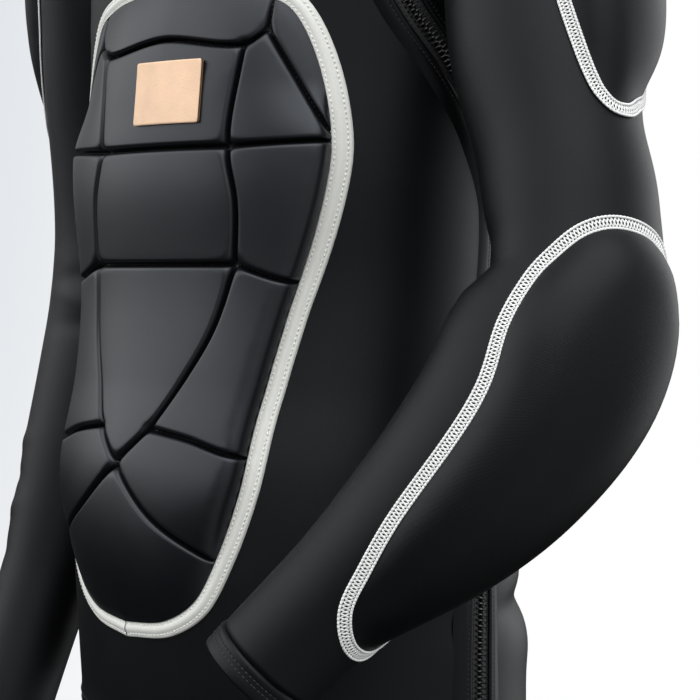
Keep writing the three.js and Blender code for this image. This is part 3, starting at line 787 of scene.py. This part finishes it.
# Pads on the sleeves
SEAM_WIDTH = 7.0
PAD_ROUND = 48.0  # arc length round an arm is told at this radius
PAD_EDGE_RISE = 0.4
DOME_START, DOME_POWER = 0.4, 0.85  # the start is in widths of the seam


def pad_outline(table, turn, reach):
    """A pad's smooth closed outline: distance along the arm and arc length round it."""
    place = table[0, 0] + (table[:, 0] - table[0, 0]) * reach
    low, high = (np.radians(table[:, 1] + turn + side * table[:, 2]) * PAD_ROUND for side in (-1, 1))
    corners = np.concatenate([np.stack([place, low], 1), np.stack([place, high], 1)[::-1]])
    return resample(spline(corners, 12, closed=True), 2.0, closed=True)


def sleeve_pad(name, arm, outline, thick, rise, taper):
    """A domed pad: it leaves the cloth steeply at its flat seam and is round over its middle."""
    flat, faces = triangulate([], outline, 4.0, (0.9, 2.0, 3.6, 6.0))
    angle, edge_angle = flat[:, 1] / PAD_ROUND, outline[:, 1] / PAD_ROUND
    edge = arm.at(outline[:, 0], edge_angle)
    d = nearest(resample(edge, 0.7, True), arm.at(flat[:, 0], angle))
    t = np.clip((d - SEAM_WIDTH * DOME_START) / rise, 0, 1)
    to_tip = np.clip((outline[:, 0].max() - flat[:, 0]) / taper, 0, 1)
    dome = (1 - (1 - t) ** 2) ** DOME_POWER * (1 - (1 - to_tip) ** 2)
    out = PAD_EDGE_RISE + (thick - PAD_EDGE_RISE) * dome
    points = arm.folded(flat[:, 0], angle, out)
    faces = orient(points, faces, arm.at(flat[:, 0], angle, -20))
    obj = piece(name, points, faces, PAD_KNIT, "knit", (name,), flat[:, ::-1] * MM)
    track = arm.track(outline[:, 0], edge_angle, 0.5)
    flatlock(name + "_seam", track, SEAM_WIDTH, 1.9, THREAD, 0.72)


for side, arm in ARMS.items():
    outline = pad_outline(SHOULDER_PAD, 0, SHOULDER_REACH[side])
    sleeve_pad("shoulder_pad_" + side, arm, outline, SHOULDER_THICK, rise=19, taper=85)
    outline = pad_outline(ELBOW_PAD, ELBOW_TURN[side], 1)
    sleeve_pad("elbow_pad_" + side, arm, outline, ELBOW_THICK, rise=30, taper=110)

# Cuffs: a folded band with a ridge at its edge and two rows of stitches
CUFF_PROFILE = np.array([
    (13, -0.4), (12.6, 0.7), (11, 1.0), (9.5, 0.6), (8.5, 0.5), (5, 0.7), (1.2, 0.9), (0.2, 0.5), (0, -0.4),
    (0.3, -1.5), (4, -2.0), (12, -2.0),
])
CUFF_STITCH_ROWS = (6.0, 8.6)
for side, arm in ARMS.items():
    s, out = arm.length - CUFF_PROFILE[:, 0], CUFF_PROFILE[:, 1]
    angle = circle(96)
    points = arm.at(s[:, None], angle, out[:, None])
    uv = np.stack(np.meshgrid(angle * UV_RADIUS["cuff"], s * MM), -1)
    faces = grid(points, flip=arm.mirror < 0)
    piece("cuff_" + side, points, faces, KNIT, "knit", ("cuff_" + side,), uv, weld=True)
    rows = []
    for rise in CUFF_STITCH_ROWS:
        rows.append((arm.track(np.full(96, arm.length - rise), angle[:-1], 0.7), 0, 0))
    stitches("cuff_stitches_" + side, rows, 2.8, THREAD_BLACK)


# Chest pad
GROOVE_HALF, GROOVE_ROUND = 0.5, 2.0
GROOVE_DEPTH, GROOVE_FLOOR = 7.5, 1.2
CORNER_SOFT = 1.6
RIM_FLOOR, RIM_REACH, RIM_ROUND = 2.4, 62, 9
SLOPE_FROM, SLOPE_OVER = -275, 40
FOOT_FROM, FOOT_OVER = -450, 70
CROWN, CROWN_REACH = 1.0, 10
ON_GROOVE = 0.3  # an edge so near a groove's line lies on it
half_edge = spline(PAD_EDGE, 16)
EDGE = resample(np.concatenate([half_edge, half_edge[-2:0:-1] * np.array([-1, 1])]), 1.6, True)
RIM = resample(inset(EDGE, BINDING_WIDTH - 0.8), 1.6, True)
SINGLE_GROOVES = [
    ["-diagonalTop", "-archEnd", "archMiddle", "archEnd", "diagonalTop"],
    ["-ribs", "ribs"],
    ["-tongueTop", "tongueTop"],
]
PAIRED_GROOVES = [
    ["topOuter", "diagonalTop"],
    ["diagonalTop", "diagonalRim"],
    ["archEnd", "ribs", "ribsWaist", "tongueTop"],
    ["ribs", "diagonalFoot"],
    ["tongueTop", "waistOuter", "waistOuter+"],
    ["tongueTop", "tongueMid", "tongueLow", "tongueFoot", "tip"],
    ["tongueFoot", "bellyMid", "bellyOuter", "bellyOuter+"],
    ["tip", "hipMid", "hipOuter", "footOuter"],
]
PAST_RIM = 30


def corner(name):
    """A corner by name; a minus gives its mirror place, and a plus a place past the rim."""
    x, z = CORNER[name.strip("-+")]
    return (-x if name.startswith("-") else x + PAST_RIM * name.endswith("+"), z)


def on_rim(point):
    return RIM[np.linalg.norm(RIM - point, axis=1).argmin()][None]


def groove_lines():
    """The grooves as flat lines; one that runs past the rim is cut and ends on it."""
    lines = [[corner(n) for n in names] for names in SINGLE_GROOVES]
    for names in PAIRED_GROOVES:
        line = [corner(n) for n in names]
        lines += [line, [(-x, z) for x, z in line]]
    for line in lines:
        points = resample(spline(line, 12), 1.5)
        within = np.flatnonzero(inside(RIM, points))
        first, last = within[0], within[-1]
        parts = [points[first:last + 1]]
        if first > 0:
            parts.insert(0, on_rim(points[first]))
        if last < len(points) - 1:
            parts.append(on_rim(points[last]))
        yield np.concatenate(parts)


def round_edge(d, radius):
    t = np.clip(d / radius, 0, 1)
    return np.sqrt(1 - (1 - t) ** 2)


def block_height(groove, rim, z):
    """How far the blocks stand out: flat, cut by tight grooves, and sloping to the rim at both ends."""
    share = np.maximum(ease((z - SLOPE_FROM) / SLOPE_OVER), ease((FOOT_FROM - z) / FOOT_OVER))
    gentle = 1 - (1 - np.clip(rim / RIM_REACH, 0, 1)) ** 2
    rise = gentle * share + round_edge(rim, RIM_ROUND) * (1 - share)
    top = RIM_FLOOR + (BLOCK_TOP - CROWN - RIM_FLOOR) * rise
    floor = np.maximum(top - GROOVE_DEPTH, GROOVE_FLOOR)
    crown = CROWN * (1 - np.exp(-np.minimum(groove, rim) / CROWN_REACH))
    return floor + (top - floor) * round_edge(groove - GROOVE_HALF, GROOVE_ROUND) + crown


grooves = list(groove_lines())
flat, faces = triangulate(grooves, RIM, 3.4, (0.55, 1.15, 1.8, 2.6, 3.6, 5.2))
cloth_points = on_front(flat)
groove_places = [on_front(resample(line, 0.5)) for line in grooves]
each = [np.maximum(nearest(places, cloth_points), 1e-3) for places in groove_places]
to_corner = sum(d ** -CORNER_SOFT for d in each) ** (-1 / CORNER_SOFT)
rim_places = on_front(resample(RIM, 0.5, True))
to_rim = nearest(rim_places, cloth_points)
pad_points = on_front(flat, block_height(to_corner, to_rim, flat[:, 1]))
faces = orient(pad_points, faces, on_front(flat, -30.0))


def edges(face):
    return [(min(a, b), max(a, b)) for a, b in zip(face, face[1:] + face[:1])]


def regions(faces, on_line):
    """Numbers the faces by the area that the grooves part them into; on_line marks the grooves' points."""
    beside = {}
    for i, f in enumerate(faces):
        for key in edges(f):
            beside.setdefault(key, []).append(i)
    mids = {(a, b): (cloth_points[a] + cloth_points[b]) / 2 for a, b in beside if on_line[a] and on_line[b]}
    far = nearest(np.concatenate(groove_places), list(mids.values()))
    walls = {key for key, d in zip(mids, far) if d <= ON_GROOVE}
    region, count = [-1] * len(faces), 0
    for start in range(len(faces)):
        todo = [start] if region[start] < 0 else []
        while todo:
            i = todo.pop()
            region[i] = count
            for key in edges(faces[i]):
                if key not in walls:
                    todo += [j for j in beside[key] if region[j] < 0]
        count += region[start] == count
    return np.array(region)


BLOCK_MIDDLE = {
    "pad_top": (0, -192), "pad_plate": (0, -240), "pad_ribs": (0, -300), "pad_tongue": (0, -380),
    "pad_foot": (0, -500), "pad_collar_left": (84, -220), "pad_breast_left": (65, -245),
    "pad_flank_left": (72, -310), "pad_waist_left": (62, -390), "pad_belly_left": (48, -460),
}
for name, (x, z) in list(BLOCK_MIDDLE.items()):
    if x > 0:
        BLOCK_MIDDLE[name.replace("_left", "_right")] = (-x, z)
region = regions(faces, np.min(each, axis=0) < ON_GROOVE)
middles = np.array([flat[list(f)].mean(0) for f in faces])
for name, middle in BLOCK_MIDDLE.items():
    own = region[np.linalg.norm(middles - middle, axis=1).argmin()]
    used, own_faces = renumber([f for f, r in zip(faces, region) if r == own])
    block = piece(name, pad_points[used], own_faces, PAD_CLOTH, "pad_cloth", (name,))

tracks = []
for line in grooves:
    line = resample(line, 2.0)
    floor = block_height(0, nearest(rim_places, on_front(line)), line[:, 1])
    tracks.append((front_track(line, floor), 0, 0.2))
stitches("groove_stitches", tracks, 2.7, THREAD_BLACK, radius=0.42)

base = np.stack([on_front(RIM, h) for h in (0.3, 2.6)])
piece("pad_base", base, grid(base, closed=True), GROOVE, "pad_cloth", ("pad_base",))

# Bound edge: a padded tape with two rows of stitches, butted at the bottom of the pad
BINDING_PROFILE = np.array([
    (0, 0.1), (0.25, 1.0), (0.8, 1.6), (1.6, 1.75), (2.2, 1.6), (2.8, 1.9), (3.8, 2.5), (5, 2.75), (6.2, 2.6),
    (7.2, 2.1), (7.8, 1.8), (8.4, 2.0), (9.2, 1.9), (9.8, 1.3), (10, 0.3),
])
STITCH_ROWS, STITCH_HEIGHT = (2.2, 7.8), 1.75
BUTT = {"lift": 0.5, "length": 15, "gap": 0.1}
edge = np.roll(EDGE, -EDGE[:, 1].argmin(), axis=0)
ring = np.arange(len(edge) + 1) % len(edge)
far = lengths(edge[ring])
lift = BUTT["lift"] * (1 - ease(far / BUTT["length"]))
rows = np.stack([on_front(inset(edge, d)[ring], h + lift * min(1, h)) for d, h in BINDING_PROFILE])
rows[:, -1] += (rows[:, -2] - rows[:, -1]) * BUTT["gap"]
piece("pad_binding", rows, grid(rows), TAPE_GREY, "binding", ("pad_binding",))
tracks = [(front_track(inset(edge, d), STITCH_HEIGHT + lift[:-1]), 0, 0.1) for d in STITCH_ROWS]
stitches("binding_stitches", tracks, 2.8, THREAD_LIGHT, radius=0.42, share=0.6)


# Patch: bare leather with round corners and a darker cut edge
round_off, thick = PATCH["round"], PATCH["thick"]
hw, hh = PATCH["width"] / 2 - round_off, PATCH["height"] / 2 - round_off
ring = []
for k, (sx, sz) in enumerate(((1, 1), (-1, 1), (-1, -1), (1, -1))):
    turn = np.linspace(0, np.pi / 2, 7) + k * np.pi / 2
    ring.append(np.stack([sx * hw + round_off * np.cos(turn), sz * hh + round_off * np.sin(turn)], 1))
ring = resample(np.concatenate(ring), 1.2, True)
middle, seat = np.array([PATCH["x"], PATCH["z"]]), BLOCK_TOP - 0.1
levels = [(1.0, -0.4), (1.0, thick - 0.4), (0.985, thick)] + [(s, thick) for s in np.linspace(0.95, 0.1, 12)]
points = np.stack([on_front(middle + ring * s, seat + h) for s, h in levels])
last = (len(levels) - 1) * len(ring)
faces = grid(points, closed=True) + [tuple(range(last, last + len(ring)))]
points = points.reshape(-1, 3)
faces = orient(points, faces, points - body_normal(PATCH["z"], 0.05) * 8)
patch = piece("patch", points, faces, LEATHER, "leather", ("patch",))
patch.data.materials.append(LEATHER_EDGE)
for polygon in list(patch.data.polygons)[: len(ring)]:
    polygon.material_index = 1

# Neckband: a folded band with a seam where it meets the body
NECK_PROFILE = [
    (0, 0.2), (1.5, 0.7), (4, 0.5), (12, 0.5), (20, 0.4), (24, 0.3), (25.6, -0.2), (26, -1.0), (25.6, -1.9),
    (24, -2.3), (12, -2.4), (0, -2.4),
]
angle = circle(144)
ring = on_section(NECK, angle)
radial = unit(ring * np.array([1, 1, 0]))
rows = []
for rise, out in NECK_PROFILE:
    shrink = 1 + (NECK_TAPER - 1) * rise / NECK_HEIGHT
    p = ring * np.array([shrink, shrink, 1]) + radial * out
    rows.append(p + np.array([0, -rise * BODY[0, 4], rise]))
rows = np.stack(rows)
uv = np.stack(np.meshgrid(angle * UV_RADIUS["neckband"], np.arange(len(rows)) * 0.004), -1)
piece("neckband", rows, grid(rows, flip=True), KNIT, "knit", ("neckband",), uv, weld=True)
black_seam("neck_seam", body_track(NECK - 3.0, angle[:-1], 0.3, closed=True))

# Side zip: tapes, moulded teeth, slider, and the folded cloth beside it
ZIP_BEND, ZIP_STEP = 120, 3
TOOTH_PITCH = 3.0
TOOTH = np.array([
    (-0.6, 3.7), (0.6, 3.7), (0.6, 1.1), (0.95, 0.5), (0.8, -0.7), (-0.8, -0.7), (-0.95, 0.5), (-0.6, 1.1),
])
TOOTH_MIDDLE = (0, 1.4)
TOOTH_LEVELS = ((1.0, 1.3), (1.0, 2.7), (0.72, 3.1))  # scale and height
TAPE_PROFILE = [(1.3, 0.5), (1.3, 1.3), (2.4, 1.5), (4, 1.4), (8.4, 1.3), (8.4, 0.3)]
FOLD_PROFILE = [
    (6.6, 0.7), (6.3, 1.7), (6.7, 2.5), (7.8, 2.9), (9.2, 2.6), (9.8, 2.35), (10.6, 2.5), (12.5, 2.0),
    (14.6, 1.1), (16.5, 0.2), (18, -0.8),
]
ZIP_STITCH_ROWS = ((9.7, 1.95), (5.2, 1.3))  # distance across and height
# Slider, its bridge, and a pull tab that lies flat, with its raised end
# Each: place along, length, width, squareness, and levels of scale and height
SLIDER = [
    (13, 13, 9, 0.6, [(0.9, 3.3), (1, 3.7), (1, 5.2), (0.9, 5.8)]),
    (12, 9, 3.4, 0.6, [(1, 5.6), (1, 6.6), (0.8, 7.2)]),
    (24, 23, 6, 0.45, [(0.94, 6.5), (1, 6.8), (1, 7.8), (0.94, 8.1)]),
    (30, 8, 3.6, 0.5, [(1, 8.0), (0.9, 8.6)]),
]
zip_z = np.linspace(ZIP_LINE[0, 0], ZIP_LINE[-1, 0], 320)
zip_track = body_track(zip_z, np.radians(from_table(ZIP_LINE, 1, zip_z)))


def zip_strip(profile, sign):
    """A strip along the zip; its section, across and above, follows the body's curve."""
    s = np.linspace(0, zip_track.length, round(zip_track.length / ZIP_STEP) + 1)
    across, up = np.array(profile).T
    return zip_track.at(s[:, None], sign * across, up - across * across / (2 * ZIP_BEND))


def carried(outline, middle, levels):
    """A flat outline at levels of scale about its middle and of height."""
    rings = [np.column_stack([(outline - middle) * s + middle, np.full(len(outline), u)]) for s, u in levels]
    return np.stack(rings)


def oval(along, length, width, squareness):
    a = circle(28)[:-1]
    c, s = np.cos(a), np.sin(a)
    return np.stack([along + length / 2 * np.sign(c) * np.abs(c) ** squareness,
                     width / 2 * np.sign(s) * np.abs(s) ** squareness], 1)


def slab(outline, levels):
    """A closed plate on the zip: a flat outline carried through its levels."""
    points = zip_track.at(*np.moveaxis(carried(outline, outline.mean(0), levels), -1, 0))
    n, last = len(outline), len(outline) * (len(levels) - 1)
    faces = grid(points, closed=True) + [tuple(range(n)), tuple(range(last, last + n))[::-1]]
    points = points.reshape(-1, 3)
    return points, orient(points, faces, np.broadcast_to(points.mean(0), points.shape))


tape, cloth_folds, teeth, rows = [], [], [], []
for sign in (1, -1):
    for profile, parts in ((TAPE_PROFILE, tape), (FOLD_PROFILE, cloth_folds)):
        points = zip_strip(profile, sign)
        parts.append((points, grid(points, flip=sign > 0)))
    rows += [(zip_track, sign * across, up) for across, up in ZIP_STITCH_ROWS]
    middle = np.arange(3, zip_track.length - 3, TOOTH_PITCH) + (0 if sign > 0 else TOOTH_PITCH / 2)
    ring = carried(TOOTH, TOOTH_MIDDLE, TOOTH_LEVELS).reshape(-1, 3)
    points = zip_track.at(middle[:, None] + ring[:, 0], sign * ring[:, 1], ring[:, 2])
    one = grid(np.zeros((3, 8, 3)), closed=True, flip=sign < 0)
    one.append(tuple(range(16, 24))[::sign])
    teeth.append((points, repeat(one, len(middle), 24)))
piece("zip_tape", *join(tape), ZIP_TAPE, "zip_tape", ("zip_tape",))
piece("zip_folds", *join(cloth_folds), ZIP_FOLD, "knit")
piece("zip_chain", *join(teeth), RESIN, "zip_resin", ("zip_chain",))
stitches("zip_stitches", rows, 2.6, THREAD_BLACK, radius=0.28)
parts = [slab(oval(*size), levels) for *size, levels in SLIDER]
piece("zip_slider", *join(parts), RESIN, "zip_resin", ("zip_slider",))


# Stage, light and camera
BACKDROP = [(0.02, -1.1), (2.2, -1.1), (3.4, -0.98), (4.4, -0.3), (5.0, 1.0), (5.0, 4.0)]
# The backdrop glows: painted shade, grey-blue on the left, fading to white on the right
PAINTED_SHADE_LEFT, SHADE_RIGHT = (0.68, 0.715, 0.76, 1), (1, 1, 1, 1)
VIEW_RIGHT, SHADE_SPAN = (0.766, 0.643, 0.0), (-1.7, 0.2)
# Lights: azimuth and rise of the middle, cosines from it where the light starts and is full, strength
WALL_LIGHT, WALL_BASE = (-47, 15, 0.66, 0.97, 1.95), 0.42
ABOVE_HORIZON = (0, 90, -0.08, 0.11, 1.0)
LIGHTS = [
    (45, 60, 0.64, 0.95, 2.6),  # softbox overhead
    (160, 8, 0.76, 0.97, 1.4),  # glow from behind
    (110, -18, 0.5, 0.95, 0.45),  # low fills
    (48, -24, 0.6, 0.97, 0.4),
]
DARK = 0.012


def backdrop():
    """A pale round floor that curves up into a wall; it glows by itself, with painted shade that turns it
    grey-blue towards the camera's left, and is seen by the camera alone.
    """
    profile = spline(BACKDROP, 8)
    a = circle(96)[:-1]
    rows = np.stack([np.stack([r * np.cos(a), r * np.sin(a), np.full(len(a), z)], -1) for r, z in profile])
    m = bpy.data.materials.new("backdrop_glow_painted_shade")
    m.use_nodes = True
    tree = m.node_tree
    tree.nodes.remove(tree.nodes["Principled BSDF"])
    place = add(tree, "ShaderNodeTexCoord").outputs["Object"]
    share = ramp(tree, place, VIEW_RIGHT, *SHADE_SPAN)
    shade = add(tree, "ShaderNodeMix", {0: share, 6: PAINTED_SHADE_LEFT, 7: SHADE_RIGHT}, data_type="RGBA")
    glow = add(tree, "ShaderNodeEmission", {"Color": shade.outputs[2], "Strength": 1.0})
    tree.links.new(glow.outputs[0], tree.nodes["Material Output"].inputs["Surface"])
    obj = smooth_object("floor", rows, grid(rows, closed=True) + [tuple(range(len(a)))], m)
    obj.visible_diffuse = obj.visible_glossy = obj.visible_shadow = obj.visible_transmission = False


def studio():
    """Walls of light above the horizon, brighter on one side, and the lights of the table."""
    world = bpy.data.worlds.new("studio")
    SCENE.world = world
    world.use_nodes = True
    tree = world.node_tree
    way = add(tree, "ShaderNodeTexCoord").outputs["Generated"]

    def facing(azimuth, rise, low, high, strength):
        a, e = math.radians(azimuth), math.radians(rise)
        axis = (math.sin(a) * math.cos(e), -math.cos(a) * math.cos(e), math.sin(e))
        return ramp(tree, way, axis, low, high, strength)

    walls = math_node(tree, "ADD", facing(*WALL_LIGHT), WALL_BASE)
    total = math_node(tree, "MULTIPLY", walls, facing(*ABOVE_HORIZON))
    for light in LIGHTS:
        total = math_node(tree, "ADD", total, facing(*light))
    background = tree.nodes["Background"].inputs
    tree.links.new(math_node(tree, "ADD", total, DARK), background["Strength"])
    background["Color"].default_value = (0.98, 0.99, 1.0, 1)


backdrop()
studio()

FOCAL_PIXELS, IMAGE_PIXELS, DIP_PIXELS = 1900, 700, 85
CAMERA_TURN, CAMERA_PLACE = 40, (0.760, -0.8635, -0.335)
camera_data = bpy.data.cameras.new("camera")
camera_data.sensor_width = 36
camera_data.lens = camera_data.sensor_width * FOCAL_PIXELS / IMAGE_PIXELS
camera_data.clip_start, camera_data.clip_end = 0.05, 50
camera = bpy.data.objects.new("camera", camera_data)
camera.location = CAMERA_PLACE
turn, dip = math.radians(CAMERA_TURN), math.atan(DIP_PIXELS / FOCAL_PIXELS)
look = Vector((-math.sin(turn) * math.cos(dip), math.cos(turn) * math.cos(dip), -math.sin(dip)))
camera.rotation_mode = "QUATERNION"
camera.rotation_quaternion = look.to_track_quat("-Z", "Y")
SCENE.collection.objects.link(camera)
SCENE.camera = camera
SCENE.view_settings.view_transform = "Standard"
